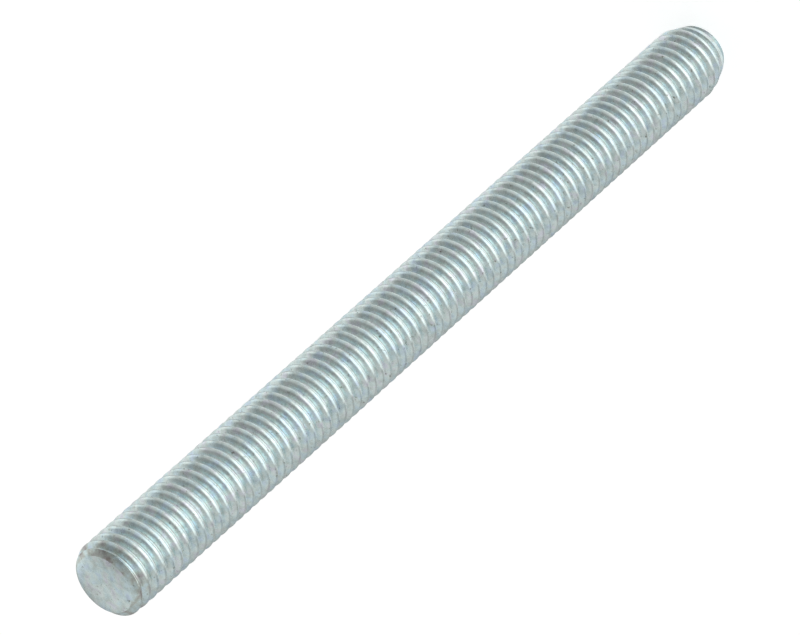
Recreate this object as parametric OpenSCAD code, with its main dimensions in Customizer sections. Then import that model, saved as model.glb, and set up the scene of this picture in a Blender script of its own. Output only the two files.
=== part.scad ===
// Fully threaded steel rod: one solid bar with a flat chamfered end and a tapered end.
//
// Millimetres, +Z up. The rod stands on its tapered end: the origin is the centre of the
// small flat there, and +Z runs along the rod's axis to the flat end.
//
// The solid is the plain bar over the crests of the thread. The thread is a fine one, so
// its turns aren't cut here, but every end size is tied to its pitch and its root.

/* [Thread] */
// Diameter over the crests of the thread
crest_d = 7.9; // [5:0.1:16]
// Distance along the rod from one crest to the next
pitch = 1.25; // [0.7:0.05:2]

/* [Rod] */
// Length over both ends
rod_length = 101.5; // [40:0.5:250]

/* [Flat end] */
// How far the edge of the end face lies inside the root of the thread
face_inset = 0.1; // [0:0.05:0.4]
// Slope of the chamfer, measured from the end face
chamfer_angle = 33; // [15:1:60]

/* [Tapered end] */
// Turns of the thread that run out on the taper
taper_turns = 2.3; // [1:0.1:4]
// How far the edge of the tip lies inside the root of the thread
tip_inset = 0.25; // [0:0.05:0.4]
// Radius that rounds the edge of the tip
tip_round = 0.45; // [0.1:0.05:0.6]

/* [Hidden] */
$fn = 96;

// A metric thread's root lies 1.2268 pitches inside its crests, across the diameter
root_d = crest_d - 1.2268 * pitch;

crest_r = crest_d / 2;
face_r = root_d / 2 - face_inset;
chamfer_length = (crest_r - face_r) * tan(chamfer_angle);

tip_r = root_d / 2 - tip_inset;
taper_length = taper_turns * pitch;
// Slope of the taper, measured from the rod's axis
taper_angle = atan((crest_r - tip_r) / taper_length);
// Distance from the tip's corner to where its rounding meets the tip and the taper
round_reach = tip_round * tan((90 - taper_angle) / 2);

// Half the rod's section, with the corner of the tip cut off between the two ends of
// its rounding
module bar_section() {
    polygon([
        [0, 0],
        [tip_r - round_reach, 0],
        [tip_r + round_reach * sin(taper_angle), round_reach * cos(taper_angle)],
        [crest_r, taper_length],
        [crest_r, rod_length - chamfer_length],
        [face_r, rod_length],
        [0, rod_length]
    ]);
}

// The rounding of the tip's edge, tangent to the tip and to the taper
module tip_rounding() {
    translate([tip_r - round_reach, tip_round]) circle(r = tip_round);
}

module threaded_rod() {
    color("lightsteelblue")
        rotate_extrude()
            union() {
                bar_section();
                tip_rounding();
            }
}

threaded_rod();
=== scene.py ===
"""Looks of the threaded rod: its rolled thread, its zinc finish, the light and the camera.

Metres, in the frame of the CAD part: +Z up the rod's axis, with the origin under the
tapered end that the rod stands on. The flat chamfered end is at the top.
"""
import math
import random

import bmesh
import bpy
from mathutils import Matrix, Vector, noise


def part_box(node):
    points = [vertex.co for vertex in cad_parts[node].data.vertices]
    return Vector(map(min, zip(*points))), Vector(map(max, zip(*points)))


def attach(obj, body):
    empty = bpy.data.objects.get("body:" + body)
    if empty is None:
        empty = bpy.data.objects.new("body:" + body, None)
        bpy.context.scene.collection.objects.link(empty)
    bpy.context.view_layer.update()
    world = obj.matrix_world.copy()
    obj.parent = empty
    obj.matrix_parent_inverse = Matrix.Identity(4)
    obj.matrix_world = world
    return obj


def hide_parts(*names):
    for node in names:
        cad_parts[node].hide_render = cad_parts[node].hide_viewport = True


MM = 0.001

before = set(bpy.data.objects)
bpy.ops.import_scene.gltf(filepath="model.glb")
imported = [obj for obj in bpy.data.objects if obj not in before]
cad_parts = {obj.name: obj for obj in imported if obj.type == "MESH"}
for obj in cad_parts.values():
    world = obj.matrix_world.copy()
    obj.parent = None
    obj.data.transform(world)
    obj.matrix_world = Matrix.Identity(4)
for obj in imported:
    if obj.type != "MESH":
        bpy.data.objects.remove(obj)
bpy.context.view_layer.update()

# ---------------------------------------------------------------- sizes, from the CAD box
LOW, HIGH = (Vector(corner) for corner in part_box("threaded_rod"))
CREST_R = (HIGH.x - LOW.x) / 2
LENGTH = HIGH.z
PITCH = 1.25 * MM

# Rolled 60 degree thread: the crests and the roots are rounded off
HALF_ANGLE = math.radians(30)
CREST_ROUND = 0.28 * PITCH
ROOT_ROUND = 0.1443 * PITCH

# Ends, as in the CAD part, which ties them to the root of the nominal thread
NOMINAL_ROOT_R = CREST_R - 0.6134 * PITCH
FACE_R = NOMINAL_ROOT_R - 0.1 * MM
CHAMFER_ANGLE = math.radians(33)
TIP_R = NOMINAL_ROOT_R - 0.25 * MM
TAPER_LENGTH = 2.3 * PITCH
TIP_ROUND = 0.45 * MM
# The thread was rolled on a pointed bar, so its roots follow this share of the taper
ROOTS_FOLLOW = 0.72

# How far below the flat end a crest meets the front of the rod, its -Y side
FIRST_CREST = 1.6 * MM
FRONT = -math.pi / 2

# The thread starts low: how far under full height at the flat end, and how far down
START_DROP = 0.2 * MM
START_LENGTH = 1.1 * MM

# The rolled surface waves a little, always inwards: wavelength and depth of each wave
LONG_WAVE = 4 * MM
LONG_WAVE_DEPTH = 0.006 * MM
SMALL_WAVE = 0.9 * MM
SMALL_WAVE_DEPTH = 0.010 * MM

# Small knocks on the crests: the least and the most of each size
DENT_COUNT = 140
DENT_HALF_LENGTHS = (0.15 * MM, 0.5 * MM)
DENT_DEPTHS = (0.02 * MM, 0.07 * MM)
# They move only the points that lie this close under the full radius
DENT_REACH = 0.1 * CREST_ROUND

# ---------------------------------------------------------------- mesh resolution
STEPS_ROUND = 72
ENVELOPE_STEPS = 180
CREST_STEPS = 4
ROOT_STEPS = 3
ROUND_STEPS = 6
SHARP_ANGLE = math.radians(35)
# Turns of thread past each end of the rod, and the envelope's width past the crests
SPARE_TURNS = 2.5
SPARE_WIDTH = 0.3 * MM

# ---------------------------------------------------------------- stains at the flat end
# Brown that they multiply the zinc with, and where they start and reach full strength,
# measured down from the end. The face itself stays clean
STAIN = (0.48, 0.43, 0.36, 1)
STAIN_START = 3.0 * MM
STAIN_FULL = 0.7 * MM
CLEAN_FACE = 0.02 * MM

# ---------------------------------------------------------------- light
# Azimuth and elevation of each soft box, where its edge starts and ends to fade (all in
# degrees), and its strength
AMBIENT = 0.30
SOFT_BOXES = [
    (-20, -22, 20, 54, 0.80),
    (30, -40, 0, 112, 0.34),
    (-80, 40, 0, 60, 0.30),
    (-140, -10, 0, 80, 0.18),
    (128, 4, 30, 46, 0.52),
    (0, -88, 20, 50, 0.40),
    (180, 42, 0, 45, 0.27),
]
FLOOR_HALF_WIDTH = 3.0

# ---------------------------------------------------------------- camera
CAMERA_ELEVATION = math.radians(39.9)
CAMERA_ROLL = math.radians(-131.84)
CAMERA_DISTANCE = 600.9 * MM
CAMERA_AIM = Vector((0.17 * MM, 0, LENGTH - 47.76 * MM))
# Focal length and sensor width, in millimetres as Blender has them
CAMERA_LENS = 279
CAMERA_SENSOR = 36

RANDOM = random.Random(8)


def rnd(low, high):
    """One seeded random number."""
    return low + (high - low) * RANDOM.random()


# ---------------------------------------------------------------- the thread
def thread_profile():
    """One turn's section from crest to crest: (height, radius) pairs."""
    widest = math.pi / 2 - HALF_ANGLE
    crest = []
    for step in range(CREST_STEPS + 1):
        angle = widest * step / CREST_STEPS
        crest.append((
            CREST_ROUND * math.sin(angle),
            CREST_R - CREST_ROUND * (1 - math.cos(angle)),
        ))
    edge_z, edge_r = crest[-1]
    root_z = PITCH / 2 - ROOT_ROUND * math.sin(widest)
    root_edge_r = edge_r - (root_z - edge_z) / math.tan(HALF_ANGLE)
    root_r = root_edge_r - ROOT_ROUND * (1 - math.cos(widest))
    root = []
    for step in range(ROOT_STEPS):
        angle = widest * (1 - step / ROOT_STEPS)
        root.append((
            PITCH / 2 - ROOT_ROUND * math.sin(angle),
            root_r + ROOT_ROUND * (1 - math.cos(angle)),
        ))
    lower_half = crest + root
    upper_half = [(PITCH - z, r) for z, r in reversed(lower_half[1:])]
    return lower_half + [(PITCH / 2, root_r)] + upper_half


def dents():
    """Small knocks on the crests: (height, angle, half length, depth) of each."""
    return [
        (
            rnd(0, LENGTH),
            rnd(-math.pi, math.pi),
            rnd(*DENT_HALF_LENGTHS),
            rnd(*DENT_DEPTHS),
        )
        for _ in range(DENT_COUNT)
    ]


def dent_depth(knocks, z, angle):
    """How deep the knocks push in a point on a crest."""
    depth = 0.0
    for height, where, half, deepest in knocks:
        if abs(z - height) > half:
            continue
        turn = (angle - where + math.pi) % (2 * math.pi) - math.pi
        away = math.hypot(z - height, turn * CREST_R) / half
        if away < 1:
            depth = max(depth, deepest * (1 - away * away))
    return depth


def unevenness(z, angle):
    """How far the rolled surface lies inside its true place."""
    point = Vector((CREST_R * math.cos(angle), CREST_R * math.sin(angle), z))
    long_wave = noise.noise(point / LONG_WAVE)
    small_wave = noise.noise(point / SMALL_WAVE)
    return LONG_WAVE_DEPTH * (1 + long_wave) + SMALL_WAVE_DEPTH * (1 + small_wave)


def real_radius(radius, z, angle, knocks):
    """The profile's radius at a point, less dents, waves, the taper and the low start."""
    if radius > CREST_R - DENT_REACH:
        radius -= dent_depth(knocks, z, angle)
    radius -= unevenness(z, angle)
    radius -= ROOTS_FOLLOW * (CREST_R - TIP_R) * max(0, 1 - z / TAPER_LENGTH)
    radius -= START_DROP * max(0, 1 - (LENGTH - z) / START_LENGTH)
    return radius


def thread_mesh():
    """A closed bar with the full right-hand thread, longer than the rod at both ends.

    Each column of points runs up the bar at one angle, and every column starts a little
    higher than the one before it.
    """
    profile = thread_profile()
    knocks = dents()
    start = LENGTH - FIRST_CREST
    start -= math.ceil((start + SPARE_TURNS * PITCH) / PITCH) * PITCH
    turns = math.ceil((LENGTH + SPARE_TURNS * PITCH - start) / PITCH)
    rows = [(turn * PITCH + z, r) for turn in range(turns) for z, r in profile]
    bm = bmesh.new()
    columns = []
    for step in range(STEPS_ROUND):
        turn = step / STEPS_ROUND
        angle = FRONT + turn * 2 * math.pi
        column = []
        for height, nominal in rows:
            z = start + height + turn * PITCH
            radius = real_radius(nominal, z, angle, knocks)
            column.append(bm.verts.new((radius * math.cos(angle), radius * math.sin(angle), z)))
        columns.append(column)
    join_columns(bm, columns, len(profile))
    close_end(bm, columns, bottom=True)
    close_end(bm, columns, bottom=False)
    bmesh.ops.recalc_face_normals(bm, faces=bm.faces)
    return bm


def join_columns(bm, columns, rows_per_turn):
    """Faces between neighbouring columns. The last one meets the first a turn higher up."""
    for step, column in enumerate(columns):
        last = step == STEPS_ROUND - 1
        beside = columns[0] if last else columns[step + 1]
        rise = rows_per_turn if last else 0
        for row in range(len(column) - 1 - rise):
            upper = row + 1 + rise
            bm.faces.new((column[row], beside[row + rise], beside[upper], column[row + 1]))


def close_end(bm, columns, bottom):
    """Closes one end of the bar: a fan from the axis to the helical edge."""
    open_edges = [edge for edge in bm.edges if edge.is_boundary]
    middle = (columns[0][0].co.z + columns[0][-1].co.z) / 2
    ours = [edge for edge in open_edges if (edge.verts[0].co.z < middle) == bottom]
    height = sum(edge.verts[0].co.z for edge in ours) / len(ours)
    centre = bm.verts.new((0, 0, height))
    for edge in ours:
        bm.faces.new((edge.verts[0], edge.verts[1], centre))


# ---------------------------------------------------------------- the ends
def end_outline():
    """The rod's outline over its crests, from the axis at the tip to the axis at the top."""
    beyond = CREST_R + SPARE_WIDTH
    taper = math.atan((CREST_R - TIP_R) / TAPER_LENGTH)
    reach = TIP_ROUND * math.tan((math.pi / 2 - taper) / 2)
    points = [(0.0, 0.0)]
    for step in range(ROUND_STEPS + 1):
        angle = (math.pi / 2 - taper) * step / ROUND_STEPS
        points.append((
            TIP_R - reach + TIP_ROUND * math.sin(angle),
            TIP_ROUND - TIP_ROUND * math.cos(angle),
        ))
    points.append((beyond, (beyond - TIP_R) / math.tan(taper)))
    points.append((beyond, LENGTH - (beyond - FACE_R) * math.tan(CHAMFER_ANGLE)))
    points.append((FACE_R, LENGTH))
    points.append((0.0, LENGTH))
    return points


def envelope_mesh():
    """The closed solid of revolution that cuts the thread to length, chamfer and taper."""
    outline = end_outline()
    bm = bmesh.new()
    foot = bm.verts.new((0, 0, outline[0][1]))
    top = bm.verts.new((0, 0, outline[-1][1]))
    rings = []
    for radius, z in outline[1:-1]:
        ring = []
        for step in range(ENVELOPE_STEPS):
            angle = 2 * math.pi * step / ENVELOPE_STEPS
            ring.append(bm.verts.new((radius * math.cos(angle), radius * math.sin(angle), z)))
        rings.append(ring)
    for step in range(ENVELOPE_STEPS):
        after = (step + 1) % ENVELOPE_STEPS
        bm.faces.new((foot, rings[0][after], rings[0][step]))
        for lower, upper in zip(rings, rings[1:]):
            bm.faces.new((lower[step], lower[after], upper[after], upper[step]))
        bm.faces.new((top, rings[-1][step], rings[-1][after]))
    bmesh.ops.recalc_face_normals(bm, faces=bm.faces)
    return bm


def new_object(name, bm):
    """Puts a finished bmesh into the scene as an object."""
    mesh = bpy.data.meshes.new(name)
    bm.to_mesh(mesh)
    bm.free()
    obj = bpy.data.objects.new(name, mesh)
    bpy.context.scene.collection.objects.link(obj)
    return obj


def build_rod():
    """The threaded bar cut by the envelope, with crisp edges where the cut ends the thread."""
    rod = new_object("rolled_thread", thread_mesh())
    cutter = new_object("rod_envelope", envelope_mesh())
    cut = rod.modifiers.new("ends", "BOOLEAN")
    cut.operation = "INTERSECT"
    cut.solver = "MANIFOLD"
    cut.object = cutter
    evaluated = rod.evaluated_get(bpy.context.evaluated_depsgraph_get())
    mesh = bpy.data.meshes.new_from_object(evaluated)
    rod.modifiers.clear()
    rod.data = mesh
    bpy.data.objects.remove(cutter)
    for polygon in mesh.polygons:
        polygon.use_smooth = True
    mesh.set_sharp_from_angle(angle=SHARP_ANGLE)
    return rod


# ---------------------------------------------------------------- materials
class Nodes:
    """Short calls that add and link the nodes of a material or a world."""

    def __init__(self, owner, shader):
        owner.use_nodes = True
        self.tree = owner.node_tree
        self.shader = self.tree.nodes[shader]

    def put(self, value, socket):
        """Links an output, or sets a plain value."""
        if isinstance(value, bpy.types.NodeSocket):
            self.tree.links.new(value, socket)
        else:
            socket.default_value = value

    def add(self, kind, **inputs):
        """A new node. An underscore in an input's name stands for a space."""
        node = self.tree.nodes.new("ShaderNode" + kind)
        for name, value in inputs.items():
            self.put(value, node.inputs[name.replace("_", " ")])
        return node

    def calculate(self, kind, operation, first, second):
        """A Math or VectorMath node with two inputs."""
        node = self.add(kind)
        node.operation = operation
        self.put(first, node.inputs[0])
        self.put(second, node.inputs[1])
        return node.outputs["Value"]

    def map_range(self, value, low, high, result=1.0, interpolation="LINEAR"):
        """Maps low to 0 and high to the given result, and holds both beyond them."""
        node = self.add("MapRange", Value=value, From_Min=low, From_Max=high, To_Max=result)
        node.interpolation_type = interpolation
        return node.outputs["Result"]

    def ramp(self, value, stops):
        """A colour ramp of (position, colour) stops."""
        node = self.add("ValToRGB", Fac=value)
        elements = node.color_ramp.elements
        while len(elements) < len(stops):
            elements.new(0.5)
        for element, (position, colour) in zip(elements, stops):
            element.position = position
            element.color = (*colour, 1)
        return node.outputs["Color"]

    def noise(self, vector, scale, detail, roughness=0.5):
        """A noise of so many features per metre."""
        node = self.add("TexNoise", Vector=vector, Scale=scale, Detail=detail, Roughness=roughness)
        return node.outputs["Fac"]

    def multiply(self, factor, first, second):
        """Two colours multiplied, by as much as the factor says."""
        node = self.add("Mix")
        node.data_type = "RGBA"
        node.blend_type = "MULTIPLY"
        self.put(factor, node.inputs[0])
        self.put(first, node.inputs[6])
        self.put(second, node.inputs[7])
        return node.outputs[2]


def zinc_material():
    """Bright zinc over rolled steel: blue-grey, faintly tinted, with specks and stains."""
    material = bpy.data.materials.new("zinc_plated_steel")
    n = Nodes(material, "Principled BSDF")
    position = n.add("TexCoord").outputs["Object"]
    tints = n.ramp(n.noise(position, 900, 3.0), [
        (0.30, (0.69, 0.82, 0.94)),
        (0.43, (0.72, 0.88, 0.90)),
        (0.55, (0.78, 0.89, 0.86)),
        (0.68, (0.80, 0.84, 0.91)),
    ])
    dull_patches = n.ramp(n.noise(position, 1300, 4.0, 0.6), [
        (0.34, (0.80, 0.80, 0.79)),
        (0.56, (1, 1, 1)),
    ])
    specks = n.ramp(n.noise(position, 2300, 4.0, 0.65), [
        (0.63, (1, 1, 1)),
        (0.70, (0.42, 0.38, 0.34)),
    ])
    colour = n.multiply(1.0, tints, dull_patches)
    colour = n.multiply(1.0, colour, specks)
    colour = n.multiply(flat_end_stain(n, position), colour, STAIN)
    n.put(colour, n.shader.inputs["Base Color"])
    n.shader.inputs["Metallic"].default_value = 1.0
    rough = n.ramp(n.noise(position, 1500, 4.0, 0.6), [
        (0.3, (0.18, 0.18, 0.18)),
        (0.7, (0.34, 0.34, 0.34)),
    ])
    n.put(rough, n.shader.inputs["Roughness"])
    grain = n.noise(position, 1900, 4.0, 0.55)
    bump = n.add("Bump", Strength=0.6, Distance=0.00002, Height=grain)
    n.put(bump.outputs["Normal"], n.shader.inputs["Normal"])
    return material


def flat_end_stain(n, position):
    """How strongly oil and dirt stain the chamfer and the first turns, from 0 to 1."""
    height = n.add("SeparateXYZ", Vector=position).outputs["Z"]
    near_end = n.map_range(height, LENGTH - STAIN_START, LENGTH - STAIN_FULL)
    off_face = n.calculate("Math", "LESS_THAN", height, LENGTH - CLEAN_FACE)
    patches = n.map_range(n.noise(position, 900, 3.0, 0.6), 0.40, 0.74)
    stain = n.calculate("Math", "MULTIPLY", near_end, patches)
    return n.calculate("Math", "MULTIPLY", stain, off_face)


def floor_material():
    """Plain white, lit a little from within so that it stays even."""
    material = bpy.data.materials.new("pale_floor")
    n = Nodes(material, "Principled BSDF")
    n.shader.inputs["Base Color"].default_value = (0.93, 0.93, 0.93, 1)
    n.shader.inputs["Roughness"].default_value = 0.9
    n.shader.inputs["Emission Color"].default_value = (1, 1, 1, 1)
    n.shader.inputs["Emission Strength"].default_value = 0.55
    return material


# ---------------------------------------------------------------- floor, light, camera
def add_floor():
    """A plain square floor. The rod doesn't reflect it, and shows the soft boxes instead."""
    half = FLOOR_HALF_WIDTH
    corners = ((-half, -half), (half, -half), (half, half), (-half, half))
    bm = bmesh.new()
    bm.faces.new([bm.verts.new((x, y, 0)) for x, y in corners])
    floor = new_object("floor", bm)
    floor.data.materials.append(floor_material())
    floor.visible_glossy = False


def direction_to(azimuth, elevation):
    """The unit vector that points there. Azimuth 0 is the camera's side, and 90 is +X."""
    a = math.radians(azimuth)
    e = math.radians(elevation)
    return Vector((math.sin(a) * math.cos(e), -math.cos(a) * math.cos(e), math.sin(e)))


def add_world():
    """A dim studio with soft boxes painted on it, each a smooth patch of light."""
    world = bpy.data.worlds.new("studio")
    n = Nodes(world, "Background")
    direction = n.add("TexCoord").outputs["Generated"]
    light = AMBIENT
    for azimuth, elevation, inner, outer, strength in SOFT_BOXES:
        nearness = n.calculate(
            "VectorMath", "DOT_PRODUCT", direction, direction_to(azimuth, elevation)
        )
        edge = math.cos(math.radians(outer))
        core = math.cos(math.radians(inner))
        patch = n.map_range(nearness, edge, core, strength, "SMOOTHSTEP")
        light = n.calculate("Math", "ADD", light, patch)
    n.put(light, n.shader.inputs["Strength"])
    n.shader.inputs["Color"].default_value = (1, 1, 1, 1)
    bpy.context.scene.world = world


def add_camera():
    """Looks down at the flat end, rolled so that the standing rod lies across the picture."""
    data = bpy.data.cameras.new("camera")
    data.sensor_width = CAMERA_SENSOR
    data.lens = CAMERA_LENS
    camera = bpy.data.objects.new("camera", data)
    direction = Vector((0, -math.cos(CAMERA_ELEVATION), math.sin(CAMERA_ELEVATION)))
    camera.location = CAMERA_AIM + direction * CAMERA_DISTANCE
    look = (-direction).to_track_quat("-Z", "Y").to_matrix()
    camera.rotation_euler = (look @ Matrix.Rotation(CAMERA_ROLL, 3, "Z")).to_euler()
    bpy.context.scene.collection.objects.link(camera)
    bpy.context.scene.camera = camera


bpy.context.scene.view_settings.view_transform = "Standard"

rod = build_rod()
rod.data.materials.clear()
rod.data.materials.append(zinc_material())
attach(rod, "root")
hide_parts("threaded_rod")

add_floor()
add_world()
add_camera()
